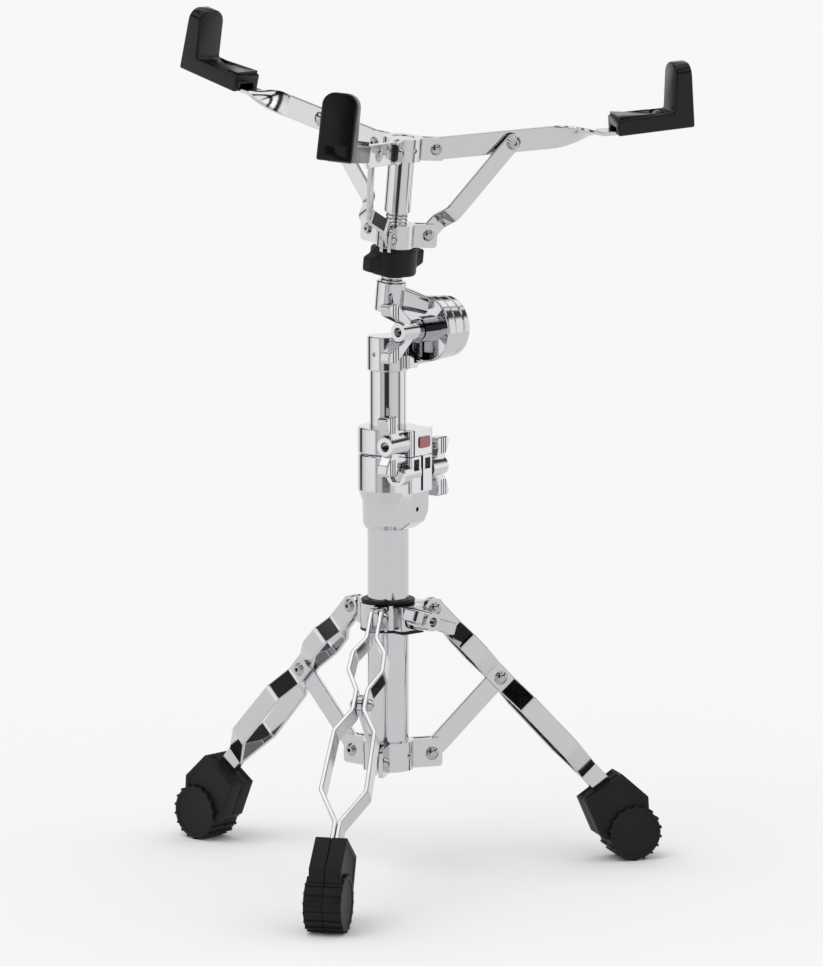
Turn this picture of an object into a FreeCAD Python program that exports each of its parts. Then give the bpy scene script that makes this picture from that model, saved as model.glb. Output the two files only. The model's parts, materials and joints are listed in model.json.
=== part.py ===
"""Double-braced snare drum stand: tripod base, telescopic column, brake-drum tilter and three-arm basket.

Millimetres, +Z up.  The origin is on the floor under the column axis, and the front leg points along -Y.
Leg parts are drawn in a plane of their own (x outwards, y sideways, z up) and turned to each leg's azimuth.
Basket parts are drawn upright over the column and then leaned about the tilter's axis.
"""
import FreeCAD, Part
import math
import os

# ---- driving sizes ---------------------------------------------------------------------------------------
AZIMUTHS = {"front": 270.0, "right": 30.0, "left": 150.0}   # the three legs, and the three arms above them
RUN_FIT = 0.05            # radial clearance of a turning or sliding fit
GAP = 0.35                # clearance between faces of pieces that move past each other

# column
BASE_TUBE_R = 14.3
BASE_TUBE_WALL = 1.5
BASE_TUBE_BOTTOM = 75.5
BASE_TUBE_TOP = 268.0
UPPER_TUBE_R = BASE_TUBE_R - BASE_TUBE_WALL - 0.1
UPPER_TUBE_WALL = 1.5
UPPER_TUBE_BOTTOM = BASE_TUBE_BOTTOM + 28.5

# leg hub and lower collar
HUB_RING_R = BASE_TUBE_R + 5.0
HUB_TOP = 192.8
HUB_BOTTOM = HUB_TOP - 17.0
HUB_TONGUE = 3.2
SLEEVE_WALL = 1.3
SLEEVE_FLANGE = 2.8
HUB_BOSS_AZ = 325.0
HUB_BOSS_REACH = HUB_RING_R + 6.7
HUB_BOSS_WIDTH = 20.0
COLLAR_RING_R = BASE_TUBE_R + 3.3
COLLAR_BOTTOM = BASE_TUBE_BOTTOM
COLLAR_TOP = COLLAR_BOTTOM + 20.0
COLLAR_SCREW_AZ = 344.0
COLLAR_SCREW_R = 2.0
EAR_THICK = 3.0
PIVOT_BOLT_R = 2.6
BOLT_HEAD_R = 4.6
BOLT_HEAD_H = 2.6

# tripod
LEG_WIDTH = 14.0
LEG_THICK = 3.0
HUB_PIVOT_R = BASE_TUBE_R + 18.2
HUB_PIVOT_Z = HUB_TOP - 6.2
MID_PIVOT_R = HUB_PIVOT_R + 48.0
MID_PIVOT_Z = HUB_PIVOT_Z - 51.3
COLLAR_PIVOT_R = BASE_TUBE_R + 16.2
COLLAR_PIVOT_Z = COLLAR_BOTTOM + 9.3
LEG_TOP_OFFSET = 3.4      # half distance between the centres of a leg's two strips at the hub
LEG_MID_OFFSET = 3.9      # at the brace
LEG_UPPER_BULGE = 11.8
LEG_LOWER_BULGE = 15.6
LEG_END_OFFSET = 1.65
LEG_END_Z = 42.75         # height of the strips' ends, inside the foot
UPPER_BENDS = (0.285, 0.448, 0.662)   # shares of the way from the hub pivot to the brace's
LOWER_BENDS = (102.0, 55.0, 30.5)     # back from the strips' ends
STRIP_CORNER_R = 0.7
BRACE_WIDTH = 14.0
BEND_R = 6.0
FOOT_REACH = 10.9         # from the strips' ends to where the disc touches the floor
DISC_R = 20.0
DISC_WIDTH = 26.0
DISC_RIDGES = 18
RIDGE_CUT_R = 2.4
RIDGE_DEPTH = 1.0
CREST_FLAT = 0.15         # how far the lowest ridge is worn flat
FOOT_BLOCK = ((-36.6, 44.5), (-9.4, 62.9), (10.4, 45.2), (12.0, 22.0), (-6.0, 8.0), (-25.5, 19.0))
FOOT_BLOCK_WIDTH = 22.0
FOOT_GRIP = 47.0          # length of strip inside the foot

# height clamp and memory lock
CLAMP_AZ = 338.0
CLAMP_BOTTOM = BASE_TUBE_TOP - 23.0
CLAMP_WAIST = BASE_TUBE_TOP - 4.0
CLAMP_SHOULDER = BASE_TUBE_TOP + 4.0
CLAMP_TOP = BASE_TUBE_TOP + 29.0
CLAMP_R = BASE_TUBE_R + 6.7
EAR_REACH = CLAMP_R + 7.5
EAR_HALF_WIDTH = 14.0
CLAMP_BOLT_X = UPPER_TUBE_R + 8.3
CLAMP_BOLT_Z = CLAMP_TOP - 11.2
CLAMP_BOLT_R = 3.0
CLAMP_BOSS_R = 8.2
CLAMP_BOSS_END = 20.5
CLAMP_SLIT = 2.6
KEEL_WIDTH = 19.0
WINDOW = (3.4, 10.0, 9.5, 1.8)   # recess beside the slit: near, far, and its ends below the top
PIN_HOLE_R = 1.6
BUSHING_WALL = 1.8
HEX_FLATS = 10.6
HEX_HEAD = 3.6
LOCK_BOTTOM = CLAMP_TOP + 0.6
LOCK_TOP = LOCK_BOTTOM + 17.8
LOCK_SLIT_Y = -9.5
LOCK_SLIT = 1.6
BADGE_SIZE = (12.5, 8.0, 0.8)

# wing nuts and wing screws
WING_REACH = 23.0
WING_SPAN = 20.5
WING_THICK = 8.6
WING_HUB_R = 6.8
WING_HUB_LENGTH = 19.0
WING_MOUTH = 5.0                 # depth of the hole in the hub's end
WING_GRIPS = (10.5, 8.0, 5.5)    # grip grooves, back from the ears' tips
GROOVE_WIDTH = 1.2
GROOVE_DEPTH = 0.45
WING_SEAT_R = WING_HUB_R + 1.8   # spot face under a wing head
TILTER_WING_REACH = WING_REACH + 10.0   # its ears stand out past the column's sleeve

# tilter
TILTER_AZ = 60.0          # the way its axis points, from the wing nut to the drum
TILTER_Z = LOCK_TOP + 67.6
TILTER_OFFSET = 20.0      # the axis passes this far from the column's
REST_TILT = 6.2
TILTER_SLEEVE_R = UPPER_TUBE_R + 1.8
TILTER_SLEEVE_BOTTOM = TILTER_Z - 28.5
TILTER_SLEEVE_TOP = TILTER_Z - 4.7
TILTER_SCREW_AZ = 243.0
DRUM_R = 22.8
DRUM_STARTS = (15.4, 23.4, 31.6)   # front ring, middle ring and cap, along the axis
DRUM_END = 38.6
CAP_RECESS = 2.5
TILTER_BOLT_R = 3.2
TILTER_NUT_SEAT = 7.4
BOSS_BOTTOM = TILTER_Z + 10.4
BOSS_TOP = TILTER_Z + 31.4
BOSS_FLOOR = 2.5
LOWER_NECK = ((4, -3, -17, 17, 19), (14, -4, -17.5, 20, 17), (24, -8, -16, 22, 17))
UPPER_NECK = ((2, -2, 20.5, 15, 17), (10, -6, 18.5, 19, 15), (19, -14, 14.5, 26, 11))
SET_SCREW_R = 1.6

# basket
ROD_R = 7.8
ROD_THREAD_PITCH = 2.5
ROD_THREAD_DEPTH = 0.8
BOSS_R = ROD_R + 2.6
KNOB_R = ROD_R + 8.5
KNOB_BOTTOM = BOSS_TOP + 5.1
KNOB_TOP = KNOB_BOTTOM + 18.5
KNOB_EAR_AZ = 48.0
KNOB_EAR_REACH = KNOB_R + 7.7
KNOB_EAR_WIDTH = 13.0
KNOB_EAR_HEIGHT = 9.4
ARM_WIDTH = 15.6
ARM_THICK = 2.8
LOW_RING_R = ROD_R + 5.2
LOW_RING_BOTTOM = KNOB_TOP + 0.4
LOW_RING_TOP = LOW_RING_BOTTOM + 16.2
POST_R = ROD_R + 1.3
POST_BOTTOM = LOW_RING_TOP + 8.4
HIGH_RING_R = POST_R + 4.3
HIGH_RING_BOTTOM = LOW_RING_TOP + 44.4
HIGH_RING_TOP = HIGH_RING_BOTTOM + ARM_WIDTH
HIGH_SCREW_AZ = 325.0
ARM_LENGTH = 168.0
ARM_TWIST = (0.51, 0.715)        # where the arm's quarter turn starts and ends, in shares of its length
ARM_PIVOT_R = HIGH_RING_R + 9.6
ARM_PIVOT_Z = HIGH_RING_BOTTOM + ARM_WIDTH / 2
ARM_MID_R = ARM_PIVOT_R + 0.324 * ARM_LENGTH
ARM_MID_Z = ARM_PIVOT_Z + 6.5
ARM_BRACE_PIVOT_R = LOW_RING_R + 9.4
ARM_BRACE_PIVOT_Z = LOW_RING_BOTTOM + 8.7
ARM_BRACE_WIDTH = 11.8
ARM_BRACE_THICK = 2.6
ARM_BRACE_BULGE = 11.0
ARM_BRACE_TOP_OFFSET = 4.8
BASKET_EAR_THICK = 2.2
BASKET_BOLT_R = 2.2
BASKET_HEAD_R = 3.9
BASKET_HEAD_H = 2.2
RIVET_HEAD_R = 5.0
RIVET_PLAY = 1.6                 # extra radius of the brace's hole round the rivet
TIP_REACH = 16.7                 # from the arm's end to the tip's outer bottom corner
TIP_RISE = 1.9
TIP_LEAN = 8.5
TIP_LENGTH = 55.5
TIP_WIDTH = 23.8
TIP_FLOOR = 11.6
TIP_WALL = 14.7
TIP_WALL_TOP = 11.5
TIP_HEIGHT = 44.6

# ---- worked out from them --------------------------------------------------------------------------------
Z_AXIS = FreeCAD.Vector(0, 0, 1)
Y_AXIS = FreeCAD.Vector(0, 1, 0)
ORIGIN = FreeCAD.Vector(0, 0, 0)
LEG_PITCH = math.degrees(math.atan2(HUB_PIVOT_Z - MID_PIVOT_Z, MID_PIVOT_R - HUB_PIVOT_R))
LEG_MID_S = math.hypot(HUB_PIVOT_Z - MID_PIVOT_Z, MID_PIVOT_R - HUB_PIVOT_R)
LEG_LENGTH = (HUB_PIVOT_Z - LEG_END_Z) / math.sin(math.radians(LEG_PITCH))
FOOT_R = HUB_PIVOT_R + LEG_LENGTH * math.cos(math.radians(LEG_PITCH)) + FOOT_REACH
BRACE_PITCH = -math.degrees(math.atan2(MID_PIVOT_Z - COLLAR_PIVOT_Z, MID_PIVOT_R - COLLAR_PIVOT_R))
BRACE_LENGTH = math.hypot(MID_PIVOT_Z - COLLAR_PIVOT_Z, MID_PIVOT_R - COLLAR_PIVOT_R)
ARM_PITCH = -math.degrees(math.atan2(ARM_MID_Z - ARM_PIVOT_Z, ARM_MID_R - ARM_PIVOT_R))
ARM_MID_S = math.hypot(ARM_MID_Z - ARM_PIVOT_Z, ARM_MID_R - ARM_PIVOT_R)
TIP_CORNER_R = ARM_PIVOT_R + ARM_LENGTH * math.cos(math.radians(ARM_PITCH)) + TIP_REACH
TIP_CORNER_Z = ARM_PIVOT_Z - ARM_LENGTH * math.sin(math.radians(ARM_PITCH)) + TIP_RISE
ARM_BRACE_PITCH = -math.degrees(math.atan2(ARM_MID_Z - ARM_BRACE_PIVOT_Z, ARM_MID_R - ARM_BRACE_PIVOT_R))
ARM_BRACE_LENGTH = math.hypot(ARM_MID_Z - ARM_BRACE_PIVOT_Z, ARM_MID_R - ARM_BRACE_PIVOT_R)
SLEEVE_R = BASE_TUBE_R + RUN_FIT + SLEEVE_WALL
BRACE_EAR_INNER = LEG_THICK / 2 + GAP
BRACE_EAR_OUTER = BRACE_EAR_INNER + EAR_THICK
ARM_EAR_INNER = ARM_THICK / 2 + 0.2
ARM_EAR_OUTER = ARM_EAR_INNER + BASKET_EAR_THICK


# ---- drawing helpers -------------------------------------------------------------------------------------
def vec(x, y, z):
    """A point or direction."""
    return FreeCAD.Vector(x, y, z)


def box(x0, x1, y0, y1, z0, z1):
    """A block between two corners."""
    return Part.makeBox(x1 - x0, y1 - y0, z1 - z0, vec(x0, y0, z0))


def rod(radius, start, end):
    """A round bar from one point to another."""
    return Part.makeCylinder(radius, (end - start).Length, start, end - start)


def ring(outer, inner, z0, z1):
    """An upright tube about the column axis."""
    return rod(outer, vec(0, 0, z0), vec(0, 0, z1)).cut(rod(inner, vec(0, 0, z0 - 1), vec(0, 0, z1 + 1)))


def revolved(profile):
    """A solid of revolution about Z from (radius, height) points."""
    points = [vec(r, 0, z) for r, z in profile]
    return Part.Face(Part.makePolygon(points + points[:1])).revolve(ORIGIN, Z_AXIS, 360)


def turned(shape, azimuth):
    """A copy turned about the column axis, from the +X direction to an azimuth."""
    copy = shape.copy()
    copy.rotate(ORIGIN, Z_AXIS, azimuth)
    return copy


def pitched(shape, r, z, pitch):
    """A piece drawn along +X from the origin, pitched down and moved to a pivot in a leg's plane."""
    copy = shape.copy()
    copy.rotate(ORIGIN, Y_AXIS, pitch)
    copy.translate(vec(r, 0, z))
    return copy


def leaned(shape):
    """A basket piece, leaned about the tilter's axis as the stand is stored."""
    copy = shape.copy()
    axis = turned_vec(vec(1, 0, 0), TILTER_AZ)
    copy.rotate(tilter_point(0), axis, REST_TILT)
    return copy


def turned_vec(vector, azimuth):
    """A vector turned about Z."""
    return FreeCAD.Rotation(Z_AXIS, azimuth).multVec(vector)


def tilter_point(along, height=0.0):
    """A point on the tilter's axis, or above it."""
    return turned_vec(vec(along, -TILTER_OFFSET, TILTER_Z + height), TILTER_AZ)


def rounded_edges(points, radius, closed):
    """Straight runs and tangent arcs through the corners of an outline or a path in the XY plane."""
    count = len(points)
    corners = [vec(x, y, 0) for x, y in points]
    stops = []
    for i, corner in enumerate(corners):
        if not closed and i in (0, count - 1):
            stops.append((corner, None, corner))
            continue
        back = (corners[i - 1] - corner).normalize()
        ahead = (corners[(i + 1) % count] - corner).normalize()
        half = back.getAngle(ahead) / 2
        reach = radius / math.tan(half)
        centre_way = (back + ahead).normalize()
        middle = corner + centre_way * (radius / math.sin(half) - radius)
        stops.append((corner + back * reach, middle, corner + ahead * reach))
    edges = []
    for i, (start, middle, end) in enumerate(stops):
        if middle is not None:
            edges.append(Part.Arc(start, middle, end).toShape())
        if closed or i < count - 1:
            edges.append(Part.LineSegment(end, stops[(i + 1) % count][0]).toShape())
    return edges


def plate(points, radius, thickness):
    """A flat piece with rounded corners, centred on the XY plane."""
    face = Part.Face(Part.Wire(rounded_edges(points, radius, True)))
    solid = face.extrude(vec(0, 0, thickness))
    solid.translate(vec(0, 0, -thickness / 2))
    return solid


def section(width, thickness, radius):
    """A rounded rectangle across the start of a strip, in the YZ plane."""
    y, z = thickness / 2, width / 2
    wire = Part.Wire(rounded_edges([(-y, -z), (y, -z), (y, z), (-y, z)], radius, True))
    wire.transformShape(FreeCAD.Placement(ORIGIN, FreeCAD.Rotation(vec(0, 1, 0), vec(0, 0, 1), vec(1, 0, 0),
                                                                  "XYZ")).toMatrix())
    return wire


def bent_strip(path, width, thickness, holes):
    """A strip with softened edges, bent along a path, with round ends and pivot holes across it."""
    profile = section(width, thickness, STRIP_CORNER_R)
    profile.translate(vec(path[0][0], path[0][1], 0))
    solid = Part.Wire(rounded_edges(path, BEND_R, False)).makePipeShell([profile], True, False)
    for s, radius in holes:
        solid = solid.cut(rod(radius, vec(s, -40, 0), vec(s, 40, 0)))
    return solid


def round_end(solid, s, width, outwards):
    """The same strip with its end at s made a half round; outwards is -1 at its start and 1 at its end."""
    half = width / 2 + 1
    corner = box(0, 3 * half, -60, 60, -half, half).cut(rod(width / 2, vec(0, -61, 0), vec(0, 61, 0)))
    if outwards < 0:
        corner.rotate(ORIGIN, Z_AXIS, 180)
    corner.translate(vec(s, 0, 0))
    return solid.cut(corner)


def pivot_bolt(y_head, y_tail, shank_r, head_r, head_h):
    """A button-head bolt along Y, with a hexagon socket in its head and a domed nut at its tail."""
    shank = rod(shank_r, vec(0, y_tail, 0), vec(0, y_head, 0))
    head = Part.makeCone(head_r, head_r * 0.62, head_h, vec(0, y_head, 0), Y_AXIS)
    socket = hexagon(head_r * 0.62, head_h * 0.6)
    socket.translate(vec(0, y_head + head_h * 0.4, 0))
    dome = Part.makeSphere(head_r * 1.25, vec(0, 0, 0))
    dome = dome.common(box(-9, 9, -9, -(head_r * 1.25 - head_h), -9, 9))
    dome.translate(vec(0, y_tail + head_r * 1.25 - head_h, 0))
    return shank.fuse(head).cut(socket).fuse(dome).removeSplitter()


def hexagon(flats, length):
    """A hexagonal bar from the origin along +Y."""
    corner = flats / 2 / math.cos(math.radians(30))
    points = [vec(corner * math.cos(math.radians(60 * i)), 0, corner * math.sin(math.radians(60 * i)))
              for i in range(6)]
    return Part.Face(Part.makePolygon(points + points[:1])).extrude(vec(0, length, 0))


def wings(reach=WING_REACH):
    """A two-eared wing head along +X, its ears along Y, seated at the origin; a longer reach sweeps them out."""
    swept = reach - WING_REACH
    half = [(1.5, 5.5), (7.5 + 0.15 * swept, 7.5), (9.5 + 0.6 * swept, 13), (8.5 + 1.55 * swept, WING_SPAN),
            (reach - 2.5, WING_SPAN), (reach, WING_SPAN - 2), (reach - 1.5, WING_SPAN - 8),
            (WING_HUB_LENGTH - 2, 6)]
    outline = half + [(x, -y) for x, y in reversed(half)]
    ears = plate(outline, 1.8, WING_THICK)
    rims = [e for e in ears.Edges if abs(abs(e.CenterOfMass.z) - WING_THICK / 2) < 0.01]
    ears = ears.makeFillet(1.1, rims)
    hub = Part.makeCone(WING_HUB_R + 0.8, WING_HUB_R - 0.4, WING_HUB_LENGTH, ORIGIN, vec(1, 0, 0))
    mouth = rod(WING_HUB_R / 2, vec(WING_HUB_LENGTH - WING_MOUTH, 0, 0), vec(WING_HUB_LENGTH + 1, 0, 0))
    grips = []
    for x in (reach - back for back in WING_GRIPS):
        for face in (-WING_THICK / 2, WING_THICK / 2):
            groove = box(x, x + GROOVE_WIDTH, -WING_SPAN - 1, WING_SPAN + 1,
                         face - GROOVE_DEPTH, face + GROOVE_DEPTH)
            grips.append(groove.cut(box(x - 1, x + 3, -9, 9, -9, 9)))
    return ears.fuse(hub).cut(mouth).cut(Part.makeCompound(grips)).removeSplitter()


def aimed(shape, origin, x_way, y_way):
    """A piece drawn along +X, moved to an origin with its X and Y along two given directions."""
    copy = shape.copy()
    turn = FreeCAD.Rotation(x_way, y_way, x_way.cross(y_way), "XYZ")
    copy.transformShape(FreeCAD.Placement(origin, turn).toMatrix())
    return copy


def clevis_collar(ring_r, bore_r, z0, z1, pivot_r, pivot_z, ears, bolt_r, corner):
    """A collar with three two-eared lugs; ears holds how far an ear's two faces are from the lug's plane."""
    collar = ring(ring_r, bore_r, z0, z1)
    inner, outer = ears
    for azimuth in AZIMUTHS.values():
        reach = pivot_r + corner
        outline = [(bore_r + 1, z0), (reach, z0), (reach, z1), (bore_r + 1, z1)]
        lug = plate(outline, 2.4, 2 * outer)
        lug.rotate(ORIGIN, vec(1, 0, 0), 90)
        lug = lug.cut(box(ring_r + 0.4, reach + 1, -inner, inner, z0 - 1, z1 + 1))
        lug = lug.cut(rod(bolt_r, vec(pivot_r, -30, pivot_z), vec(pivot_r, 30, pivot_z)))
        collar = collar.fuse(turned(lug, azimuth))
    return collar.cut(rod(bore_r, vec(0, 0, z0 - 1), vec(0, 0, z1 + 1))).removeSplitter()


def save(node, shape):
    """Write one node."""
    shape.exportStep("parts/" + node + ".step")


def save_group(node, shapes):
    """Write several identical pieces as one node."""
    save(node, Part.makeCompound(shapes))


# ---- column ----------------------------------------------------------------------------------------------
def make_column():
    """The two tubes."""
    save("base_tube", ring(BASE_TUBE_R, BASE_TUBE_R - BASE_TUBE_WALL, BASE_TUBE_BOTTOM, BASE_TUBE_TOP))
    tube = ring(UPPER_TUBE_R, UPPER_TUBE_R - UPPER_TUBE_WALL, UPPER_TUBE_BOTTOM, TILTER_SLEEVE_TOP - 3)
    save("upper_tube", tube)


# ---- tripod ----------------------------------------------------------------------------------------------
def leg_strip(side):
    """One of a leg's two strips; side is 1 or -1."""
    first, second, third = (share * LEG_MID_S for share in UPPER_BENDS)
    fourth, fifth, sixth = (LEG_LENGTH - back for back in LOWER_BENDS)
    path = [(-LEG_WIDTH / 2, LEG_TOP_OFFSET), (first, LEG_TOP_OFFSET), (second, LEG_UPPER_BULGE - 0.8),
            (third, LEG_UPPER_BULGE), (LEG_MID_S - 8.5, LEG_MID_OFFSET), (LEG_MID_S + 7.5, LEG_MID_OFFSET),
            (fourth, LEG_LOWER_BULGE - 1.6), (fifth, LEG_LOWER_BULGE), (sixth, LEG_END_OFFSET),
            (LEG_LENGTH, LEG_END_OFFSET)]
    path = [(s, side * y) for s, y in path]
    holes = [(0, PIVOT_BOLT_R + RUN_FIT), (LEG_MID_S, PIVOT_BOLT_R)]
    return round_end(bent_strip(path, LEG_WIDTH, LEG_THICK, holes), 0, LEG_WIDTH, -1)


def foot():
    """A rubber foot: a ridged disc that touches the floor and a block that grips the leg's strips."""
    centre = vec(FOOT_R, 0, DISC_R - CREST_FLAT)
    disc = rod(DISC_R, centre - Y_AXIS * (DISC_WIDTH / 2), centre + Y_AXIS * (DISC_WIDTH / 2))
    rims = [e for e in disc.Edges if abs(abs(e.CenterOfMass.y) - DISC_WIDTH / 2) < 0.01]
    disc = disc.makeFillet(1.2, rims)
    for i in range(DISC_RIDGES):
        turn = math.radians(-90 + (i + 0.5) * 360 / DISC_RIDGES)
        spot = centre + vec(math.cos(turn), 0, math.sin(turn)) * (DISC_R + RIDGE_CUT_R - RIDGE_DEPTH)
        disc = disc.cut(rod(RIDGE_CUT_R, spot - Y_AXIS * DISC_WIDTH, spot + Y_AXIS * DISC_WIDTH))
    block = plate([(FOOT_R + x, z) for x, z in FOOT_BLOCK], 3.0, FOOT_BLOCK_WIDTH)
    block.rotate(ORIGIN, vec(1, 0, 0), 90)
    rims = [e for e in block.Edges if abs(abs(e.CenterOfMass.y) - FOOT_BLOCK_WIDTH / 2) < 0.01]
    block = block.makeFillet(2.4, rims)
    body = disc.fuse(block).cut(box(FOOT_R - DISC_R, FOOT_R + DISC_R, -DISC_WIDTH, DISC_WIDTH, -1, 0))
    half = LEG_END_OFFSET + LEG_THICK / 2
    pocket = box(LEG_LENGTH - FOOT_GRIP, LEG_LENGTH, -half, half, -LEG_WIDTH / 2, LEG_WIDTH / 2)
    return body.cut(pitched(pocket, HUB_PIVOT_R, HUB_PIVOT_Z, LEG_PITCH)).removeSplitter()


def make_legs():
    """Three legs, each of two strips, a rubber foot and a riveted brace."""
    rubber = foot()
    holes = [(0, PIVOT_BOLT_R + RUN_FIT), (BRACE_LENGTH, PIVOT_BOLT_R + RUN_FIT)]
    brace_path = [(-BRACE_WIDTH / 2, 0), (BRACE_LENGTH + BRACE_WIDTH / 2, 0)]
    brace = bent_strip(brace_path, BRACE_WIDTH, LEG_THICK, holes)
    brace = round_end(round_end(brace, 0, BRACE_WIDTH, -1), BRACE_LENGTH, BRACE_WIDTH, 1)
    brace = pitched(brace, COLLAR_PIVOT_R, COLLAR_PIVOT_Z, BRACE_PITCH)
    face = LEG_MID_OFFSET + LEG_THICK / 2
    inner = LEG_MID_OFFSET - LEG_THICK / 2
    bolt = pivot_bolt(face, -face, PIVOT_BOLT_R, BOLT_HEAD_R, BOLT_HEAD_H)
    bolt = bolt.cut(box(-9, 9, -inner, inner, -9, 9))
    for name, azimuth in AZIMUTHS.items():
        for side, word in ((1, "near"), (-1, "far")):
            strip = pitched(leg_strip(side), HUB_PIVOT_R, HUB_PIVOT_Z, LEG_PITCH)
            save("leg_strip_" + name + "_" + word, turned(strip, azimuth))
        save("rubber_foot_" + name, turned(rubber, azimuth))
        save("leg_brace_" + name, turned(brace, azimuth))
        save("leg_mid_pins_" + name, turned(pitched(bolt, MID_PIVOT_R, MID_PIVOT_Z, LEG_PITCH), azimuth))


def make_hub():
    """The collar that carries the legs, its nylon sleeve, its clamping screw and the three leg bolts."""
    collar = ring(HUB_RING_R, SLEEVE_R, HUB_BOTTOM, HUB_TOP)
    for azimuth in AZIMUTHS.values():
        reach = HUB_PIVOT_R + 6.2
        outline = [(SLEEVE_R + 0.5, HUB_BOTTOM), (HUB_PIVOT_R - 4, HUB_BOTTOM), (reach, HUB_PIVOT_Z - 5),
                   (reach, HUB_TOP), (SLEEVE_R + 0.5, HUB_TOP)]
        tongue = plate(outline, 2.2, HUB_TONGUE)
        tongue.rotate(ORIGIN, vec(1, 0, 0), 90)
        root = box(SLEEVE_R + 0.5, HUB_PIVOT_R - LEG_WIDTH / 2 - 1.2, -5, 5, HUB_BOTTOM, HUB_TOP)
        tongue = tongue.fuse(root)
        pivot = vec(HUB_PIVOT_R, 0, HUB_PIVOT_Z)
        tongue = tongue.cut(rod(PIVOT_BOLT_R, pivot - Y_AXIS * 9, pivot + Y_AXIS * 9))
        collar = collar.fuse(turned(tongue, azimuth))
    half = HUB_BOSS_WIDTH / 2
    boss = plate([(6, -half), (HUB_BOSS_REACH, -half), (HUB_BOSS_REACH, half), (6, half)], 2.5,
                 HUB_TOP - HUB_BOTTOM)
    middle = (HUB_TOP + HUB_BOTTOM) / 2
    boss.translate(vec(0, 0, middle))
    bore = (vec(0, 0, HUB_BOTTOM - 5), vec(0, 0, HUB_TOP + 5))
    collar = collar.fuse(turned(boss, HUB_BOSS_AZ)).cut(rod(SLEEVE_R, *bore))
    way = turned_vec(vec(1, 0, 0), HUB_BOSS_AZ)
    spot = vec(0, 0, middle)
    collar = collar.cut(rod(CLAMP_BOLT_R + RUN_FIT, spot + way * 10, spot + way * 40))
    save("leg_hub", collar.removeSplitter())

    sleeve = ring(SLEEVE_R, BASE_TUBE_R + RUN_FIT, HUB_BOTTOM - 2, HUB_TOP + SLEEVE_FLANGE)
    lip = ring(HUB_RING_R - 0.6, SLEEVE_R - 0.5, HUB_TOP, HUB_TOP + SLEEVE_FLANGE)
    top_edges = [e for e in lip.Edges if e.BoundBox.XLength > 2 * SLEEVE_R + 1]
    lip = lip.makeFillet(1.2, top_edges)
    foot_plate = ring(HUB_RING_R, SLEEVE_R - 0.5, HUB_BOTTOM - 2, HUB_BOTTOM)
    shelf = plate([(8, -half), (HUB_BOSS_REACH + 1, -half), (HUB_BOSS_REACH + 1, half), (8, half)], 2.5, 2)
    shelf.translate(vec(0, 0, HUB_BOTTOM - 1))
    sleeve = sleeve.fuse([lip, foot_plate, turned(shelf, HUB_BOSS_AZ)])
    sleeve = sleeve.cut(rod(BASE_TUBE_R + RUN_FIT, *bore))
    save("hub_sleeve", sleeve.removeSplitter())

    seat = spot + way * (HUB_BOSS_REACH + 1.2)
    side = turned_vec(Y_AXIS, HUB_BOSS_AZ)
    lean = FreeCAD.Rotation(way, -20).multVec(side)
    shank = rod(CLAMP_BOLT_R, spot + way * (SLEEVE_R + 0.5), seat + way)
    screw = aimed(wings(), seat, way, lean).fuse(shank)
    save("hub_wing_screw", screw.removeSplitter())

    face = LEG_TOP_OFFSET + LEG_THICK / 2 + 0.1
    bolt = pivot_bolt(face, -face, PIVOT_BOLT_R, BOLT_HEAD_R, BOLT_HEAD_H - 0.4)
    bolt.translate(vec(HUB_PIVOT_R, 0, HUB_PIVOT_Z))
    save_group("hub_pivot_bolts", [turned(bolt, azimuth) for azimuth in AZIMUTHS.values()])


def make_lower_collar():
    """The fixed collar at the foot of the base tube, its bolts and its fixing screw."""
    collar = clevis_collar(COLLAR_RING_R, BASE_TUBE_R, COLLAR_BOTTOM, COLLAR_TOP, COLLAR_PIVOT_R,
                           COLLAR_PIVOT_Z, (BRACE_EAR_INNER, BRACE_EAR_OUTER), PIVOT_BOLT_R, 7.4)
    way = turned_vec(vec(1, 0, 0), COLLAR_SCREW_AZ)
    spot = vec(0, 0, (COLLAR_BOTTOM + COLLAR_TOP) / 2)
    collar = collar.cut(rod(COLLAR_SCREW_R, spot + way * (BASE_TUBE_R - 1), spot + way * 30))
    save("lower_collar", collar)
    screw = rod(COLLAR_SCREW_R, spot + way * BASE_TUBE_R, spot + way * COLLAR_RING_R)
    head = Part.makeCone(3.4, 2.4, 1.7, spot + way * (COLLAR_RING_R - 0.3), way)
    head = head.cut(rod(COLLAR_RING_R, vec(0, 0, COLLAR_BOTTOM), vec(0, 0, COLLAR_TOP)))
    save("collar_screw", screw.fuse(head).removeSplitter())
    bolt = pivot_bolt(BRACE_EAR_OUTER, -BRACE_EAR_OUTER, PIVOT_BOLT_R, BOLT_HEAD_R, BOLT_HEAD_H)
    bolt.translate(vec(COLLAR_PIVOT_R, 0, COLLAR_PIVOT_Z))
    save_group("collar_pivot_bolts", [turned(bolt, azimuth) for azimuth in AZIMUTHS.values()])


# ---- height clamp and memory lock ------------------------------------------------------------------------
def ear_block(z0, z1):
    """The block of a clamp's ears, towards +X."""
    outline = [(0, -EAR_HALF_WIDTH), (EAR_REACH, -EAR_HALF_WIDTH), (EAR_REACH, EAR_HALF_WIDTH),
               (0, EAR_HALF_WIDTH)]
    block = plate(outline, 2.5, z1 - z0)
    block.translate(vec(0, 0, (z0 + z1) / 2))
    return block


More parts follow.
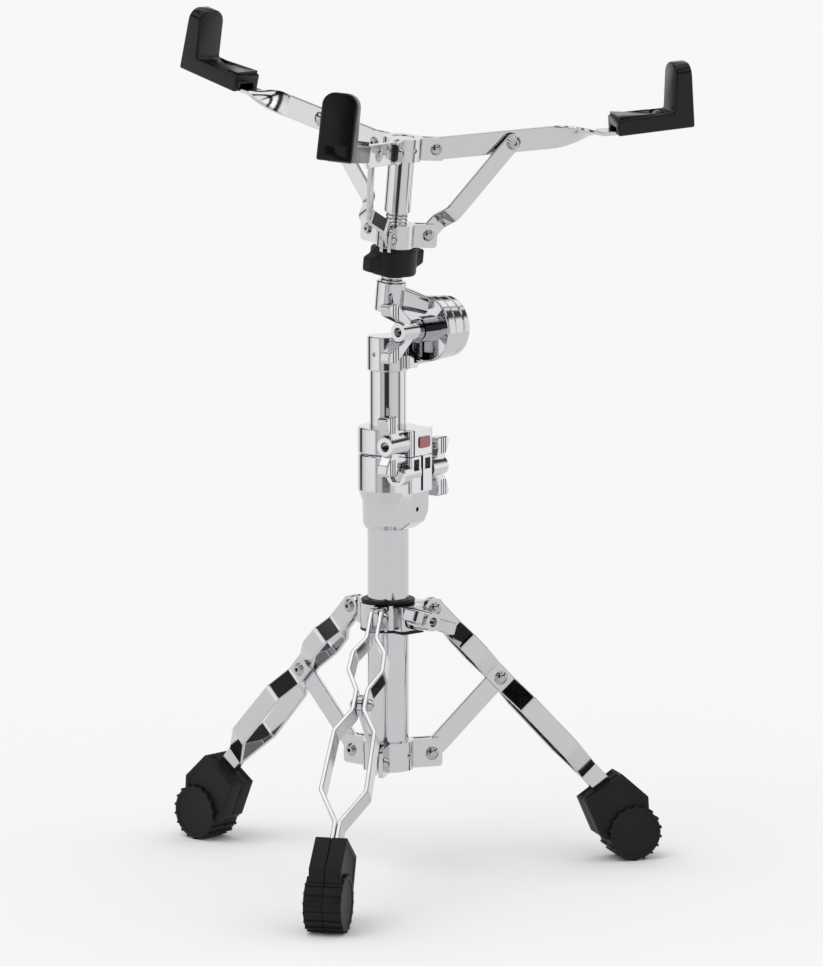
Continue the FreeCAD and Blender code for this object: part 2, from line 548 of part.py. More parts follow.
def make_height_clamp():
    """The split casting on the base tube, its bushing, bolt and wing nut."""
    bushing_r = UPPER_TUBE_R + RUN_FIT + BUSHING_WALL
    body = revolved([(0, CLAMP_BOTTOM), (BASE_TUBE_R + 1.5, CLAMP_BOTTOM),
                     (BASE_TUBE_R + 3.1, CLAMP_BOTTOM + 3), (BASE_TUBE_R + 3.6, CLAMP_WAIST),
                     (CLAMP_R, CLAMP_SHOULDER), (CLAMP_R, CLAMP_TOP - 1), (CLAMP_R - 1, CLAMP_TOP),
                     (0, CLAMP_TOP)])
    keel = [(0, CLAMP_SHOULDER + 4), (EAR_REACH, CLAMP_SHOULDER + 4), (EAR_REACH - 0.6, CLAMP_BOTTOM + 13),
            (EAR_REACH - 4, CLAMP_BOTTOM + 5.5), (BASE_TUBE_R + 2.7, CLAMP_BOTTOM + 0.3),
            (0, CLAMP_BOTTOM + 0.3)]
    fairing = plate(keel, 2.0, KEEL_WIDTH)
    fairing.rotate(ORIGIN, vec(1, 0, 0), 90)
    rims = [e for e in fairing.Edges if abs(abs(e.CenterOfMass.y) - KEEL_WIDTH / 2) < 0.01]
    sides = [e for e in rims if e.CenterOfMass.x > BASE_TUBE_R + 1.7]
    fairing = fairing.makeFillet(1.6, sides)
    bolt_at = vec(CLAMP_BOLT_X, 0, CLAMP_BOLT_Z)
    boss = rod(CLAMP_BOSS_R, bolt_at - Y_AXIS * CLAMP_BOSS_END, bolt_at)
    casting = body.fuse([fairing, ear_block(CLAMP_SHOULDER, CLAMP_TOP), boss])
    casting = casting.cut(rod(BASE_TUBE_R, vec(0, 0, CLAMP_BOTTOM - 1), vec(0, 0, BASE_TUBE_TOP)))
    casting = casting.cut(rod(bushing_r, vec(0, 0, BASE_TUBE_TOP - 0.1), vec(0, 0, CLAMP_TOP + 1)))
    half = CLAMP_SLIT / 2
    casting = casting.cut(box(8, EAR_REACH + 5, -half, half, CLAMP_SHOULDER + 1, CLAMP_TOP + 1))
    casting = casting.cut(rod(CLAMP_BOLT_R, bolt_at - Y_AXIS * 40, bolt_at + Y_AXIS * 40))
    recess = hexagon(HEX_FLATS, 7)
    recess.translate(bolt_at - Y_AXIS * (CLAMP_BOSS_END + 1))
    casting = casting.cut(recess)
    near, far, low, high = WINDOW
    for y in (near, -far):
        window = box(EAR_REACH - 2.2, EAR_REACH + 1, y, y + far - near, CLAMP_TOP - low, CLAMP_TOP - high)
        casting = casting.cut(window)
    pin = vec(EAR_REACH, -5, CLAMP_BOTTOM + 15.5)
    casting = casting.cut(rod(PIN_HOLE_R, pin - vec(6, 0, 0), pin + vec(2, 0, 0)))
    casting = casting.cut(rod(WING_SEAT_R, bolt_at + Y_AXIS * EAR_HALF_WIDTH, bolt_at + Y_AXIS * 40))
    save("height_clamp", turned(casting.removeSplitter(), CLAMP_AZ))

    bushing = ring(bushing_r, UPPER_TUBE_R + RUN_FIT, BASE_TUBE_TOP + 0.1, CLAMP_TOP - 0.3)
    bushing = bushing.cut(box(8, 20, -half, half, BASE_TUBE_TOP - 1, CLAMP_TOP + 1))
    save("clamp_bushing", turned(bushing, CLAMP_AZ))

    seat = EAR_HALF_WIDTH + 1.0
    head_at = 6 - HEX_HEAD - CLAMP_BOSS_END
    bolt = rod(CLAMP_BOLT_R - RUN_FIT, bolt_at + Y_AXIS * (head_at + HEX_HEAD),
               bolt_at + Y_AXIS * (seat + WING_HUB_LENGTH - WING_MOUTH - 0.2))
    head = hexagon(HEX_FLATS - 0.3, HEX_HEAD)
    head.translate(bolt_at + Y_AXIS * head_at)
    save("clamp_bolt", turned(bolt.fuse(head).removeSplitter(), CLAMP_AZ))

    nut = aimed(wings(), bolt_at + Y_AXIS * seat, Y_AXIS, Z_AXIS)
    nut = nut.cut(rod(CLAMP_BOLT_R, bolt_at, bolt_at + Y_AXIS * 90))
    save("clamp_wing_nut", turned(nut, CLAMP_AZ))


def make_memory_lock():
    """The stop collar on the upper tube, its wing screw and its plain badge."""
    body = rod(CLAMP_R, vec(0, 0, LOCK_BOTTOM), vec(0, 0, LOCK_TOP))
    rims = [e for e in body.Edges if e.BoundBox.XLength > CLAMP_R]
    body = body.makeFillet(1.0, [e for e in rims if e.BoundBox.ZLength < 0.01])
    middle = (LOCK_BOTTOM + LOCK_TOP) / 2
    casting = body.fuse(ear_block(LOCK_BOTTOM, LOCK_TOP))
    below, above = LOCK_BOTTOM - 1, LOCK_TOP + 1
    casting = casting.cut(rod(UPPER_TUBE_R + RUN_FIT, vec(0, 0, below), vec(0, 0, above)))
    casting = casting.cut(box(6, 40, LOCK_SLIT_Y - LOCK_SLIT / 2, LOCK_SLIT_Y + LOCK_SLIT / 2, below, above))
    screw_at = vec(CLAMP_BOLT_X, 0, middle)
    casting = casting.cut(rod(CLAMP_BOLT_R + RUN_FIT, screw_at - Y_AXIS * 40, screw_at + Y_AXIS * 2))
    casting = casting.cut(rod(WING_SEAT_R, screw_at - Y_AXIS * 40, screw_at - Y_AXIS * EAR_HALF_WIDTH))
    save("memory_lock", turned(casting.removeSplitter(), CLAMP_AZ))

    seat = screw_at - Y_AXIS * (EAR_HALF_WIDTH + 0.8)
    screw = aimed(wings(), seat, vec(0, -1, 0), Z_AXIS)
    screw = screw.fuse(rod(CLAMP_BOLT_R, seat - Y_AXIS, screw_at + Y_AXIS))
    save("lock_wing_screw", turned(screw.removeSplitter(), CLAMP_AZ))

    wide, high, thick = BADGE_SIZE
    badge = plate([(-wide / 2, -high / 2), (wide / 2, -high / 2), (wide / 2, high / 2),
                   (-wide / 2, high / 2)], 2.0, thick)
    badge = aimed(badge, vec(EAR_REACH + thick / 2, 2.6, middle), Y_AXIS, Z_AXIS)
    save("lock_badge", turned(badge, CLAMP_AZ))


# ---- tilter ----------------------------------------------------------------------------------------------
def drum_disc(start, end, radius):
    """A disc of the tilter's drum, about its axis."""
    return rod(radius, vec(start, -TILTER_OFFSET, TILTER_Z), vec(end, -TILTER_OFFSET, TILTER_Z))


def softened(disc, radius):
    """A drum disc with its two rims rounded."""
    rims = [e for e in disc.Edges if e.BoundBox.XLength < 0.01]
    return disc.makeFillet(radius, rims)


def neck(sections):
    """A smooth arm lofted through sections facing +X: x, y, height above the axis, width and height."""
    wires = []
    for x, y, rise, wide, high in sections:
        corners = [(-wide / 2, -high / 2), (wide / 2, -high / 2), (wide / 2, high / 2), (-wide / 2, high / 2)]
        wire = Part.Wire(rounded_edges(corners, min(wide, high) * 0.3, True))
        turn = FreeCAD.Rotation(vec(0, 1, 0), vec(0, 0, 1), vec(1, 0, 0), "XYZ")
        wire.transformShape(FreeCAD.Placement(vec(x, y, TILTER_Z + rise), turn).toMatrix())
        wires.append(wire)
    return Part.makeLoft(wires, True, False)


def make_tilter():
    """Lower casting, drum cap, bolt and wing nut, and the upper casting that tilts."""
    front, middle, cap = DRUM_STARTS
    top = TILTER_SLEEVE_TOP
    sleeve = rod(TILTER_SLEEVE_R, vec(0, 0, TILTER_SLEEVE_BOTTOM), vec(0, 0, top))
    sleeve = sleeve.makeFillet(1.0, [e for e in sleeve.Edges if e.BoundBox.ZLength < 0.01])
    ledge = plate([(0, -17.5), (13, -17.5), (15, 0), (0, 9)], 3.0, 9.0)
    ledge.translate(vec(0, 0, TILTER_SLEEVE_BOTTOM + 6.5))
    lower_disc = softened(drum_disc(middle, cap - 0.25, DRUM_R - 0.8), 0.7)
    lower = sleeve.fuse([ledge, lower_disc, neck(LOWER_NECK)])
    sweep = drum_disc(front - 8, middle - 0.3, DRUM_R + 0.4)
    lower = lower.cut(sweep)
    lower = lower.cut(rod(UPPER_TUBE_R, vec(0, 0, TILTER_SLEEVE_BOTTOM - 1), vec(0, 0, top - 3)))
    bolt_line = (vec(-30, -TILTER_OFFSET, TILTER_Z), vec(60, -TILTER_OFFSET, TILTER_Z))
    lower = lower.cut(rod(TILTER_BOLT_R, *bolt_line))
    way = turned_vec(vec(1, 0, 0), TILTER_SCREW_AZ - TILTER_AZ)
    spot = vec(0, 0, (TILTER_SLEEVE_BOTTOM + top) / 2)
    lower = lower.cut(rod(SET_SCREW_R, spot + way * UPPER_TUBE_R, spot + way * 20))
    save("tilter_lower", turned(lower.removeSplitter(), TILTER_AZ))
    screw = rod(SET_SCREW_R, spot + way * UPPER_TUBE_R, spot + way * (TILTER_SLEEVE_R - 0.9))
    save("tilter_set_screw", turned(screw, TILTER_AZ))

    end = softened(drum_disc(cap, DRUM_END, DRUM_R - 1.2), 1.6).cut(rod(TILTER_BOLT_R, *bolt_line))
    recess_floor = vec(DRUM_END - CAP_RECESS, -TILTER_OFFSET, TILTER_Z)
    nut_recess = rod(8.5, recess_floor, recess_floor + vec(CAP_RECESS + 1, 0, 0))
    save("tilter_cap", turned(end.cut(nut_recess), TILTER_AZ))

    seat = vec(TILTER_NUT_SEAT, -TILTER_OFFSET, TILTER_Z)
    bolt = rod(TILTER_BOLT_R, seat - vec(WING_HUB_LENGTH - WING_MOUTH - 0.3, 0, 0), recess_floor)
    head = aimed(hexagon(HEX_FLATS + 0.4, 4.5), recess_floor, Y_AXIS * -1, vec(1, 0, 0))
    save("tilter_bolt", turned(bolt.fuse(head).removeSplitter(), TILTER_AZ))
    nut = aimed(wings(TILTER_WING_REACH), seat, vec(-1, 0, 0), Z_AXIS)
    nut = nut.cut(rod(TILTER_BOLT_R + RUN_FIT, *bolt_line))
    save("tilter_wing_nut", turned(nut, TILTER_AZ))

    plug = drum_disc(TILTER_NUT_SEAT + 0.8, front + 1, 9.0)
    upper_disc = softened(drum_disc(front, middle - 0.3, DRUM_R), 1.2)
    boss = rod(BOSS_R, vec(0, 0, BOSS_BOTTOM), vec(0, 0, BOSS_TOP))
    boss = boss.makeFillet(1.0, [e for e in boss.Edges if e.BoundBox.ZLength < 0.01])
    upper = boss.fuse([upper_disc, plug, neck(UPPER_NECK)])
    lower_sweep = drum_disc(middle - 0.3, DRUM_END + 5, DRUM_R + 0.4)
    upper = upper.cut(lower_sweep)
    upper = upper.cut(rod(TILTER_BOLT_R + RUN_FIT, *bolt_line))
    upper = upper.cut(rod(ROD_R, vec(0, 0, BOSS_BOTTOM + BOSS_FLOOR), vec(0, 0, BOSS_TOP + 2)))
    save("tilter_upper", leaned(turned(upper.removeSplitter(), TILTER_AZ)))


# ---- basket ----------------------------------------------------------------------------------------------
def make_rod():
    """The threaded rod, its post sleeve and the cap on top."""
    profile = [(0, BOSS_BOTTOM + BOSS_FLOOR), (ROD_R, BOSS_BOTTOM + BOSS_FLOOR), (ROD_R, BOSS_TOP)]
    z = BOSS_TOP
    while z < POST_BOTTOM - ROD_THREAD_PITCH:
        profile += [(ROD_R, z + 0.3 * ROD_THREAD_PITCH),
                    (ROD_R - ROD_THREAD_DEPTH, z + 0.65 * ROD_THREAD_PITCH), (ROD_R, z + ROD_THREAD_PITCH)]
        z += ROD_THREAD_PITCH
    profile += [(ROD_R, HIGH_RING_TOP - 0.5), (0, HIGH_RING_TOP - 0.5)]
    save("basket_rod", leaned(revolved(profile)))
    save("basket_post", leaned(ring(POST_R, ROD_R, POST_BOTTOM, HIGH_RING_TOP)))


def make_knob():
    """The two-eared knob that lifts the lower collar."""
    body = rod(KNOB_R, vec(0, 0, KNOB_BOTTOM), vec(0, 0, KNOB_TOP))
    body = body.makeFillet(1.6, [e for e in body.Edges if e.BoundBox.ZLength < 0.01])
    half = KNOB_EAR_WIDTH / 2
    ears = plate([(-KNOB_EAR_REACH, -half), (KNOB_EAR_REACH, -half), (KNOB_EAR_REACH, half),
                  (-KNOB_EAR_REACH, half)], 4.0, KNOB_EAR_HEIGHT)
    rims = [e for e in ears.Edges if abs(abs(e.CenterOfMass.z) - KNOB_EAR_HEIGHT / 2) < 0.01]
    ears = ears.makeFillet(1.4, rims)
    ears.translate(vec(0, 0, (KNOB_BOTTOM + KNOB_TOP) / 2))
    knob = body.fuse(turned(ears, KNOB_EAR_AZ))
    knob = knob.cut(rod(ROD_R + RUN_FIT, vec(0, 0, KNOB_BOTTOM - 1), vec(0, 0, KNOB_TOP + 1)))
    save("basket_knob", leaned(knob.removeSplitter()))


def make_basket_collars():
    """The sliding lower collar and the fixed upper collar, with their bolts."""
    ears = (ARM_EAR_INNER, ARM_EAR_OUTER)
    low = clevis_collar(LOW_RING_R, ROD_R + RUN_FIT, LOW_RING_BOTTOM, LOW_RING_TOP, ARM_BRACE_PIVOT_R,
                        ARM_BRACE_PIVOT_Z, ears, BASKET_BOLT_R, 6.6)
    save("basket_lower_collar", leaned(low))
    high = clevis_collar(HIGH_RING_R, POST_R, HIGH_RING_BOTTOM, HIGH_RING_TOP, ARM_PIVOT_R, ARM_PIVOT_Z,
                         ears, BASKET_BOLT_R, 6.2)
    way = turned_vec(vec(1, 0, 0), HIGH_SCREW_AZ)
    spot = vec(0, 0, (HIGH_RING_BOTTOM + HIGH_RING_TOP) / 2)
    high = high.cut(rod(SET_SCREW_R, spot + way * POST_R, spot + way * 20))
    save("basket_upper_collar", leaned(high))
    screw = rod(SET_SCREW_R, spot + way * POST_R, spot + way * (HIGH_RING_R - 0.8))
    save("upper_collar_set_screw", leaned(screw))
    bolt = pivot_bolt(ARM_EAR_OUTER, -ARM_EAR_OUTER, BASKET_BOLT_R, BASKET_HEAD_R, BASKET_HEAD_H)
    for node, r, z in (("lower_collar_pivot_bolts", ARM_BRACE_PIVOT_R, ARM_BRACE_PIVOT_Z),
                       ("upper_collar_pivot_bolts", ARM_PIVOT_R, ARM_PIVOT_Z)):
        placed = bolt.copy()
        placed.translate(vec(r, 0, z))
        save_group(node, [leaned(turned(placed, azimuth)) for azimuth in AZIMUTHS.values()])


def arm():
    """A basket arm: upright where it is pivoted, twisted a quarter turn, and flat where the tip grips it."""
    start, end = (share * ARM_LENGTH for share in ARM_TWIST)
    straight = bent_strip([(-ARM_WIDTH / 2, 0), (start, 0)], ARM_WIDTH, ARM_THICK,
                          [(0, BASKET_BOLT_R + RUN_FIT), (ARM_MID_S, BASKET_BOLT_R)])
    straight = round_end(straight, 0, ARM_WIDTH, -1)
    wires = []
    steps = 6
    for i in range(steps + 1):
        wire = section(ARM_WIDTH, ARM_THICK, STRIP_CORNER_R)
        wire.rotate(ORIGIN, vec(1, 0, 0), 90 * i / steps)
        wire.translate(vec(start + (end - start) * i / steps, 0, 0))
        wires.append(wire)
    twist = Part.makeLoft(wires, True, False)
    flat = bent_strip([(end, 0), (ARM_LENGTH, 0)], ARM_WIDTH, ARM_THICK, [])
    flat.rotate(ORIGIN, vec(1, 0, 0), 90)
    return straight.fuse([twist, flat]).removeSplitter()


def tip():
    """A rubber tip: a floor round the arm's end and a wall that leans on the drum, drawn from its corner."""
    side = [(-TIP_LENGTH, 0), (0, 0), (0, TIP_HEIGHT), (-TIP_WALL_TOP, TIP_HEIGHT), (-TIP_WALL, TIP_FLOOR),
            (-TIP_LENGTH, TIP_FLOOR)]
    solid = plate(side, 2.0, TIP_WIDTH)
    solid.rotate(ORIGIN, vec(1, 0, 0), 90)
    rims = [e for e in solid.Edges if abs(abs(e.CenterOfMass.y) - TIP_WIDTH / 2) < 0.01]
    return solid.makeFillet(1.5, rims)


def make_arms():
    """Three arms with their braces, rivets, spacers and rubber tips."""
    end = arm()
    end = pitched(end, ARM_PIVOT_R, ARM_PIVOT_Z, ARM_PITCH)
    rubber = pitched(tip(), TIP_CORNER_R, TIP_CORNER_Z, -TIP_LEAN).cut(end).removeSplitter()
    path = [(-ARM_BRACE_WIDTH / 2, 0), (12, 0), (22, -ARM_BRACE_BULGE),
            (ARM_BRACE_LENGTH - 9, -ARM_BRACE_TOP_OFFSET),
            (ARM_BRACE_LENGTH + ARM_BRACE_WIDTH / 2, -ARM_BRACE_TOP_OFFSET)]
    brace = bent_strip(path, ARM_BRACE_WIDTH, ARM_BRACE_THICK,
                       [(0, BASKET_BOLT_R + RUN_FIT), (ARM_BRACE_LENGTH, BASKET_BOLT_R + RIVET_PLAY)])
    brace = round_end(round_end(brace, 0, ARM_BRACE_WIDTH, -1), ARM_BRACE_LENGTH, ARM_BRACE_WIDTH, 1)
    brace = pitched(brace, ARM_BRACE_PIVOT_R, ARM_BRACE_PIVOT_Z, ARM_BRACE_PITCH)
    half = ARM_THICK / 2
    outer = ARM_BRACE_TOP_OFFSET + ARM_BRACE_THICK / 2 + GAP
    washer_end = ARM_BRACE_TOP_OFFSET - ARM_BRACE_THICK / 2 - GAP
    rivet = pivot_bolt(outer, -half, BASKET_BOLT_R, RIVET_HEAD_R, BASKET_HEAD_H + 0.4)
    rivet = rivet.fuse(rod(BASKET_HEAD_R, vec(0, half, 0), vec(0, washer_end, 0))).removeSplitter()
    rivet.rotate(ORIGIN, vec(1, 0, 0), 180)
    rivet.translate(vec(ARM_MID_R, 0, ARM_MID_Z))
    for name, azimuth in AZIMUTHS.items():
        save("basket_arm_" + name, leaned(turned(end, azimuth)))
        save("rubber_tip_" + name, leaned(turned(rubber, azimuth)))
        save("arm_brace_" + name, leaned(turned(brace, azimuth)))
        save("arm_rivet_" + name, leaned(turned(rivet, azimuth)))


def main():
    """Write every node."""
    os.makedirs("parts", exist_ok=True)
    make_column()
    make_legs()
    make_hub()
    make_lower_collar()
    make_height_clamp()
    make_memory_lock()
    make_tilter()
    make_rod()
    make_knob()
    make_basket_collars()
    make_arms()


main()
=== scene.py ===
"""Looks of a double-braced snare drum stand: metal finishes, and its rubber and plastic pieces."""

import json
import logging
import math
from collections.abc import Callable
from dataclasses import dataclass
from enum import Enum

import bpy
from mathutils import Matrix, Vector


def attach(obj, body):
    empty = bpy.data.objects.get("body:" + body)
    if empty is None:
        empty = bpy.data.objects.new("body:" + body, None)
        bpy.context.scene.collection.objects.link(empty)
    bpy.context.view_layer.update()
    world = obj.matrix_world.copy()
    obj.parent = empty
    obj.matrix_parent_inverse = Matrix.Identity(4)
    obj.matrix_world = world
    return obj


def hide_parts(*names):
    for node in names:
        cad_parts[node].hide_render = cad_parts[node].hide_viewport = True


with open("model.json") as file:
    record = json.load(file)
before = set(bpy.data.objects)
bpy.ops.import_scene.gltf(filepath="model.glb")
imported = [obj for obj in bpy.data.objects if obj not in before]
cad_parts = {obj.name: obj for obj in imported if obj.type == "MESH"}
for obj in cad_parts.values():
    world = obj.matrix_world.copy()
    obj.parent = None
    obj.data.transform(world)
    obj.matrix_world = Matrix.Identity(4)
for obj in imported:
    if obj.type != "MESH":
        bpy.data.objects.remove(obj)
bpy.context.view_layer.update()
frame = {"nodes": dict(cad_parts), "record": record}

LOG = logging.getLogger("snare_stand")
MM = 0.001
FACING = 0.9          # a face or edge whose direction has this much of an axis lies along it
SMOOTH_ANGLE = 38.0   # degrees; flatter edges are shaded smooth


class Slot(Enum):
    """The record's slots for finishes."""

    STEEL = "chromed_steel"
    CASTING = "chromed_casting"
    BOLTS = "bolts"
    RUBBER = "black_rubber"
    GLOSS_RUBBER = "gloss_rubber"
    PLASTIC = "black_plastic"
    BADGE = "badge"


# ---- small tools -----------------------------------------------------------------------------------------
def linear(hex_colour: str) -> tuple[float, float, float, float]:
    """Turn an sRGB hex colour into linear values.

    Args:
        hex_colour: six hex digits, red first.

    Returns:
        Red, green, blue and alpha, linear.
    """
    channels = [int(hex_colour[i:i + 2], 16) / 255 for i in (0, 2, 4)]
    straight = [c / 12.92 if c <= 0.04045 else ((c + 0.055) / 1.055) ** 2.4 for c in channels]
    return (*straight, 1.0)


def add_node(tree: bpy.types.NodeTree, kind: str, settings: dict | None = None,
             links: dict | None = None) -> bpy.types.Node:
    """Add a node with its settings and the links into it.

    Args:
        tree: the tree that the node joins.
        kind: the node's type name.
        settings: attribute names or input names, and their values.
        links: input names, and the sockets that feed them.

    Returns:
        The new node.
    """
    node = tree.nodes.new(kind)
    for name, value in (settings or {}).items():
        if isinstance(name, int) or name in node.inputs:
            node.inputs[name].default_value = value
        else:
            setattr(node, name, value)
    for name, socket in (links or {}).items():
        tree.links.new(socket, node.inputs[name])
    return node


# ---- modelling tools -------------------------------------------------------------------------------------
def fresh() -> None:
    """Leave edit mode and deselect everything, before a new piece is started."""
    if bpy.context.object and bpy.context.object.mode != "OBJECT":
        bpy.ops.object.mode_set(mode="OBJECT")
    bpy.ops.object.select_all(action="DESELECT")


def block(name: str, low: tuple[float, float, float], high: tuple[float, float, float]) -> bpy.types.Object:
    """Add a block between two corners and go into edit mode on it.

    Args:
        name: the object's name.
        low: the lowest corner, in millimetres.
        high: the highest corner, in millimetres.

    Returns:
        The block, in edit mode, its object at the origin.
    """
    fresh()
    bpy.ops.mesh.primitive_cube_add(size=1.0)
    piece = bpy.context.object
    piece.name = name
    bpy.ops.object.mode_set(mode="EDIT")
    bpy.ops.mesh.select_all(action="SELECT")
    bpy.ops.transform.resize(value=[(b - a) * MM for a, b in zip(low, high)])
    bpy.ops.transform.translate(value=[(a + b) / 2 * MM for a, b in zip(low, high)])
    return piece


def drum(name: str, sides: int, radius: float, low: tuple[float, float, float],
         high: tuple[float, float, float]) -> bpy.types.Object:
    """Add a cylinder between two points and go into edit mode on it.

    Args:
        name: the object's name.
        sides: how many sides it has.
        radius: its radius, in millimetres.
        low: the middle of its first end, in millimetres.
        high: the middle of its second end, in millimetres.

    Returns:
        The cylinder, in edit mode, its object at the origin.
    """
    fresh()
    start, end = Vector(low) * MM, Vector(high) * MM
    way = end - start
    bpy.ops.mesh.primitive_cylinder_add(vertices=sides, radius=radius * MM, depth=way.length)
    piece = bpy.context.object
    piece.name = name
    turn = way.to_track_quat("Z", "Y").to_matrix().to_4x4()
    piece.matrix_world = Matrix.Translation((start + end) / 2) @ turn
    bpy.ops.object.transform_apply(location=True, rotation=True, scale=True)
    bpy.ops.object.mode_set(mode="EDIT")
    return piece


def pick(piece: bpy.types.Object, kind: str, test: Callable[[Vector, Vector], bool]) -> int:
    """Select the parts of a mesh that pass a test.

    Args:
        piece: the object, in edit mode.
        kind: FACE, EDGE or VERT.
        test: takes a part's middle in millimetres, and a face's normal, an edge's direction or a zero vector.

    Returns:
        How many parts were selected.
    """
    bpy.ops.mesh.select_mode(type=kind)
    bpy.ops.mesh.select_all(action="DESELECT")
    bpy.ops.object.mode_set(mode="OBJECT")
    mesh = piece.data
    points = [v.co / MM for v in mesh.vertices]
    count = 0
    for part in {"FACE": mesh.polygons, "EDGE": mesh.edges, "VERT": mesh.vertices}[kind]:
        if kind == "FACE":
            middle, way = part.center / MM, part.normal
        elif kind == "EDGE":
            first, second = (points[i] for i in part.vertices)
            middle, way = (first + second) / 2, (second - first).normalized()
        else:
            middle, way = points[part.index], Vector()
        part.select = bool(test(middle, way))
        count += part.select
    bpy.ops.object.mode_set(mode="EDIT")
    return count


def slice_off(points: tuple[tuple[float, float], ...]) -> None:
    """Cut the block in edit mode down to an outline in the XZ plane.

    Args:
        points: the outline's corners in millimetres, clockwise as seen along +Y.
    """
    for (x0, z0), (x1, z1) in zip(points, points[1:] + points[:1]):
        bpy.ops.mesh.select_all(action="SELECT")
        outward = Vector((z0 - z1, 0, x1 - x0)).normalized()
        bpy.ops.mesh.bisect(plane_co=(x0 * MM, 0, z0 * MM), plane_no=outward, use_fill=True, clear_outer=True)


def soften(piece: bpy.types.Object, width: float, segments: int, angle: float = 30.0) -> None:
    """Round a piece's sharp edges and shade it smooth.

    Args:
        piece: the object.
        width: the bevel's width, in millimetres.
        segments: how many facets the bevel has.
        angle: edges sharper than this are rounded, in degrees.
    """
    fresh()
    piece.select_set(True)
    bpy.context.view_layer.objects.active = piece
    bevel = piece.modifiers.new("round", "BEVEL")
    bevel.width = width * MM
    bevel.segments = segments
    bevel.limit_method = "ANGLE"
    bevel.angle_limit = math.radians(angle)
    bevel.use_clamp_overlap = True
    bpy.ops.object.modifier_apply(modifier=bevel.name)
    bpy.ops.object.shade_smooth_by_angle(angle=math.radians(SMOOTH_ANGLE))


def carve(piece: bpy.types.Object, tool: bpy.types.Object) -> None:
    """Cut one piece with another, which is used up.

    Args:
        piece: what is cut.
        tool: what cuts it.
    """
    fresh()
    bpy.context.view_layer.objects.active = piece
    piece.select_set(True)
    cut = piece.modifiers.new("cut", "BOOLEAN")
    cut.object = tool
    cut.operation = "DIFFERENCE"
    cut.solver = "EXACT"
    bpy.ops.object.modifier_apply(modifier=cut.name)
    bpy.data.objects.remove(tool)


def doubled(piece: bpy.types.Object) -> None:
    """Mirror a half piece across the XZ plane, leaving its parting line open.

    Args:
        piece: the half.
    """
    fresh()
    bpy.context.view_layer.objects.active = piece
    piece.select_set(True)
    mirror = piece.modifiers.new("mirror", "MIRROR")
    mirror.use_axis = (False, True, False)
    mirror.use_mirror_merge = False
    bpy.ops.object.modifier_apply(modifier=mirror.name)


def joined(name: str, *pieces: bpy.types.Object) -> bpy.types.Object:
    """Join several objects into one.

    Args:
        name: the name of the result.
        pieces: the objects; the first one stays.

    Returns:
        The joined object.
    """
    fresh()
    for piece in pieces:
        piece.select_set(True)
    bpy.context.view_layer.objects.active = pieces[0]
    bpy.ops.object.join()
    pieces[0].name = name
    return pieces[0]


def placed(piece: bpy.types.Object, name: str, place: Matrix, body: str, node: str,
           material: bpy.types.Material) -> bpy.types.Object:
    """Copy a finished piece to its place, and let it stand for a machined node.

    Args:
        piece: the pattern piece.
        name: the copy's name.
        place: where it goes, in metres.
        body: the body that it moves with.
        node: the machined node that it stands for.
        material: its material.

    Returns:
        The copy.
    """
    fresh()
    piece.select_set(True)
    bpy.context.view_layer.objects.active = piece
    bpy.ops.object.duplicate()
    copy = bpy.context.object
    copy.name = name
    copy.matrix_world = place
    bpy.ops.object.transform_apply(location=True, rotation=True, scale=True)
    copy.data.materials.clear()
    copy.data.materials.append(material)
    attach(copy, body)
    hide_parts(node)
    LOG.info("%s stands for %s", name, node)
    return copy


def about_z(azimuth: float) -> Matrix:
    """The turn about the column that takes +X to an azimuth.

    Args:
        azimuth: degrees from +X.

    Returns:
        The turn.
    """
    return Matrix.Rotation(math.radians(azimuth), 4, "Z")


# ---- finishes --------------------------------------------------------------------------------------------
@dataclass(frozen=True)
class Finish:
    """What every finish shares: a name and a fresh material with one Principled shader."""

    name: str

    def start(self) -> tuple[bpy.types.Material, bpy.types.NodeTree, bpy.types.Node, bpy.types.NodeSocket]:
        """Make the empty material.

        Returns:
            The material, its tree, its shader, and Object coordinates.
        """
        material = bpy.data.materials.new(self.name)
        material.use_nodes = True
        tree = material.node_tree
        shader = next(n for n in tree.nodes if n.type == "BSDF_PRINCIPLED")
        place = add_node(tree, "ShaderNodeTexCoord").outputs["Object"]
        return material, tree, shader, place


@dataclass(frozen=True)
class ChromePlate(Finish):
    """Chromium over polished steel or zinc: a near mirror, faintly cool, with buffing haze and ripple."""

    colour: str = "C8C9CB"
    haze: tuple[float, float] = (0.035, 0.09)
    haze_cloud: tuple[float, float] = (0.3, 0.75)
    haze_mm: float = 26.0
    ripple_mm: float = 9.0
    ripple: float = 0.012
    ripple_depth_mm: float = 0.4

    def build(self) -> bpy.types.Material:
        """Make the material.

        Returns:
            The chrome material.
        """
        material, tree, shader, place = self.start()
        shader.inputs["Base Color"].default_value = linear(self.colour)
        shader.inputs["Metallic"].default_value = 1.0
        cloud = add_node(tree, "ShaderNodeTexNoise", {"Scale": 1 / (self.haze_mm * MM), "Detail": 4.0},
                         {"Vector": place})
        thin, thick = self.haze_cloud
        span = {"From Min": thin, "From Max": thick, "To Min": self.haze[0], "To Max": self.haze[1]}
        haze = add_node(tree, "ShaderNodeMapRange", span, {"Value": cloud.outputs["Fac"]})
        tree.links.new(haze.outputs["Result"], shader.inputs["Roughness"])
        wave = add_node(tree, "ShaderNodeTexNoise", {"Scale": 1 / (self.ripple_mm * MM), "Detail": 1.0},
                        {"Vector": place})
        relief = {"Strength": self.ripple, "Distance": self.ripple_depth_mm * MM}
        bump = add_node(tree, "ShaderNodeBump", relief, {"Height": wave.outputs["Fac"]})
        tree.links.new(bump.outputs["Normal"], shader.inputs["Normal"])
        return material


